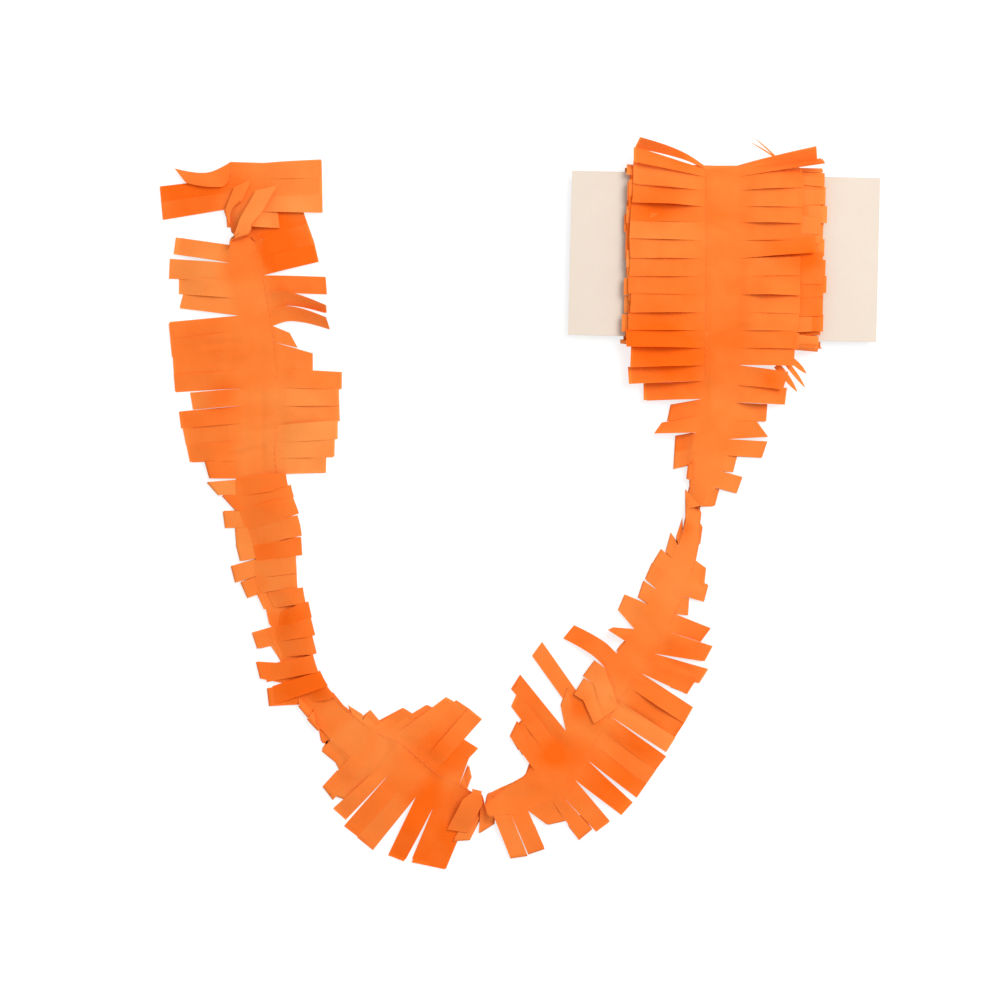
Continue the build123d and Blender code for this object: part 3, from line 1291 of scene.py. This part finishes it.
def tissue_material(fibre_group):
    """Orange tissue paper: part of the light goes through it, so layers over white look lighter."""
    material, tree = new_material("orange_tissue")
    fibre = fibre_of(tree, fibre_group, 70, 700)
    grain = {"Strength": 0.35, "Distance": 0.0012}
    bump = node_of(tree, "ShaderNodeBump", (-400, -300), grain)
    finish = {"Roughness": 0.75, "Specular IOR Level": 0.06}
    paper = node_of(tree, "ShaderNodeBsdfPrincipled", (0, 100), finish)
    glow = node_of(tree, "ShaderNodeBsdfTranslucent", (0, -200))
    blend = node_of(tree, "ShaderNodeMixShader", (300, 0), {"Fac": 0.22})
    out = node_of(tree, "ShaderNodeOutputMaterial", (600, 0))
    # The tone attribute and the fibre cloud run the orange from light to deep: the paper's uneven
    # tone, with painted shade and painted light
    tone = node_of(tree, "ShaderNodeAttribute", (-1000, 300), attribute_name="tone")
    shade = node_of(tree, "ShaderNodeMath", (-700, 300), {1: 0.45}, operation="MULTIPLY_ADD")
    limits = {"From Min": 0.1, "From Max": 1.3}
    tone_and_shade_mask = node_of(tree, "ShaderNodeMapRange", (-550, 300), limits)
    front = two_tone(tree, tone_and_shade_mask.outputs["Result"], tissue_tones_and_shade, (-400, 200))
    through = two_tone(tree, tone_and_shade_mask.outputs["Result"], glow_tones, (-400, -50))
    link = tree.links.new
    link(fibre.outputs["Cloud"], shade.inputs[0])
    link(tone.outputs["Fac"], shade.inputs[2])
    link(shade.outputs["Value"], tone_and_shade_mask.inputs["Value"])
    link(front, paper.inputs["Base Color"])
    link(through, glow.inputs["Color"])
    link(fibre.outputs["Height"], bump.inputs["Height"])
    link(bump.outputs["Normal"], paper.inputs["Normal"])
    link(bump.outputs["Normal"], glow.inputs["Normal"])
    link(paper.outputs["BSDF"], blend.inputs[1])
    link(glow.outputs["BSDF"], blend.inputs[2])
    link(blend.outputs["Shader"], out.inputs["Surface"])
    return material


def plain_material(name, fibre_group, tones, roughness, scales, bump_distance):
    """Board and thread: two close tones and a fine grain."""
    material, tree = new_material(name)
    fibre = fibre_of(tree, fibre_group, *scales)
    grain = {"Strength": 0.4, "Distance": bump_distance}
    bump = node_of(tree, "ShaderNodeBump", (-400, -300), grain)
    finish = {"Roughness": roughness, "Specular IOR Level": 0.3}
    surface = node_of(tree, "ShaderNodeBsdfPrincipled", (0, 100), finish)
    out = node_of(tree, "ShaderNodeOutputMaterial", (400, 0))
    colour = two_tone(tree, fibre.outputs["Cloud"], tones, (-400, 200))
    tree.links.new(colour, surface.inputs["Base Color"])
    tree.links.new(fibre.outputs["Height"], bump.inputs["Height"])
    tree.links.new(bump.outputs["Normal"], surface.inputs["Normal"])
    tree.links.new(surface.outputs["BSDF"], out.inputs["Surface"])
    return material


def table_material():
    """White table: white to the camera, with the garland's shadow kept."""
    material, tree = new_material("white_table")
    plain_grey, seen_grey = (0.93, 0.93, 0.93, 1), (0.36, 0.36, 0.36, 1)
    plain = node_of(tree, "ShaderNodeBsdfDiffuse", (-400, 100), {"Color": plain_grey})
    seen = node_of(tree, "ShaderNodeBsdfDiffuse", (-400, -50), {"Color": seen_grey})
    white = node_of(tree, "ShaderNodeEmission", (-400, -200), {"Strength": 0.72})
    both = node_of(tree, "ShaderNodeAddShader", (-150, -100))
    path = node_of(tree, "ShaderNodeLightPath", (-400, 400))
    choose = node_of(tree, "ShaderNodeMixShader", (100, 0))
    out = node_of(tree, "ShaderNodeOutputMaterial", (300, 0))
    link = tree.links.new
    link(seen.outputs["BSDF"], both.inputs[0])
    link(white.outputs["Emission"], both.inputs[1])
    link(path.outputs["Is Camera Ray"], choose.inputs["Fac"])
    link(plain.outputs["BSDF"], choose.inputs[1])
    link(both.outputs["Shader"], choose.inputs[2])
    link(choose.outputs["Shader"], out.inputs["Surface"])
    return material


fibre_group = paper_fibre_group()
tissue = tissue_material(fibre_group)
board = plain_material("ivory_board", fibre_group, board_tones, 0.6, (300, 1600), 0.0002)
thread = plain_material("orange_thread", fibre_group, thread_tones, 0.8, (900, 4000), 0.0001)

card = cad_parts["winding_card"]
card.data.materials.clear()
card.data.materials.append(board)

for ply, name in enumerate(("loose_length_lower_ply", "loose_length_upper_ply")):
    loose_ply = lay_ply(name, ply, tissue, "loose_length")
for ply, name in enumerate(("wound_turns_lower_ply", "wound_turns_upper_ply")):
    wound_ply, wound = wind_turns(name, ply, tissue, "wound_turns")
sew_seam("seam_stitches", thread, "seam_thread")

# Table, light and camera
table_mesh = bpy.data.meshes.new("table_top")
half = table_size / 2
table_corners = [(-half, -half, 0), (half, -half, 0), (half, half, 0), (-half, half, 0)]
table_mesh.from_pydata(table_corners, [], [(0, 1, 2, 3)])
table_mesh.materials.append(table_material())
table = place_object("table_top", table_mesh)

world = bpy.data.worlds.new("studio")
bpy.context.scene.world = world
world.use_nodes = True
background = world.node_tree.nodes["Background"]
background.inputs["Color"].default_value = (1, 1, 1, 1)
background.inputs["Strength"].default_value = sky_strength

picture_centre = Vector(on_table(picture_middle, picture_middle))
lamp_data = bpy.data.lights.new("soft_lamp", "AREA")
lamp_data.shape = "SQUARE"
lamp_data.size = lamp_size
lamp_data.energy = lamp_power
lamp = place_object("soft_lamp", lamp_data)
lamp.location = picture_centre + Vector(lamp_from_middle)
lamp.rotation_euler = (picture_centre - lamp.location).to_track_quat("-Z", "Y").to_euler()

camera_data = bpy.data.cameras.new("camera")
camera_data.sensor_width = sensor_width
camera_data.lens = sensor_width * camera_height / (2 * picture_middle * pixel)
camera = place_object("camera", camera_data)
camera.location = (picture_centre.x, picture_centre.y, camera_height)
camera.rotation_euler = (0, 0, card_turn)
bpy.context.scene.camera = camera
bpy.context.scene.view_settings.view_transform = "Standard"
